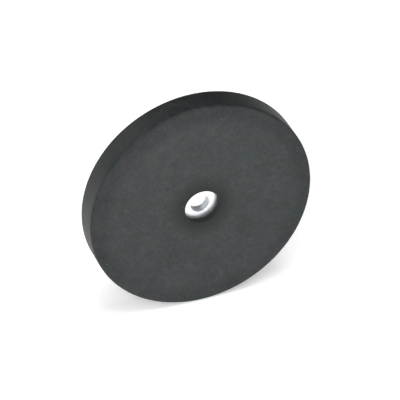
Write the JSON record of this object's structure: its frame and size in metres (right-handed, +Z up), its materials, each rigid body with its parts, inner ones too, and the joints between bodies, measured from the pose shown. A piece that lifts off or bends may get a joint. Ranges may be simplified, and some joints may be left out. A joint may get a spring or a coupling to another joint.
{
  "type": "rubber-jacketed retaining magnet",
  "caption": "Flat black rubber-jacketed magnet disc with a central screw hole in a zinc-plated steel plate, used to hold fixtures and signs to sheet steel.",
  "frame": {"origin": "centre of the disc, on the axis of the screw hole and halfway through the thickness, which lies inside the steel plate", "axes": "+Y along the disc axis from the mounting face to the retaining face, +Z up with the disc standing on its rim, +X to the right seen from the mounting face"},
  "size_m": [0.066, 0.0086, 0.066],
  "materials": {
    "jacket_rubber": "matte moulded",
    "zinc_steel": "bright zinc plated",
    "nickel_magnet": "nickel plated"
  },
  "bodies": {
    "root": {"rubber_jacket": "jacket_rubber", "steel_plate": "zinc_steel", "inner_magnet_1": "nickel_magnet", "inner_magnet_2": "nickel_magnet", "inner_magnet_3": "nickel_magnet", "inner_magnet_4": "nickel_magnet", "inner_magnet_5": "nickel_magnet", "inner_magnet_6": "nickel_magnet", "outer_magnet_01": "nickel_magnet", "outer_magnet_02": "nickel_magnet", "outer_magnet_03": "nickel_magnet", "outer_magnet_04": "nickel_magnet", "outer_magnet_05": "nickel_magnet", "outer_magnet_06": "nickel_magnet", "outer_magnet_07": "nickel_magnet", "outer_magnet_08": "nickel_magnet", "outer_magnet_09": "nickel_magnet", "outer_magnet_10": "nickel_magnet", "outer_magnet_11": "nickel_magnet", "outer_magnet_12": "nickel_magnet"}
  },
  "joints": []
}
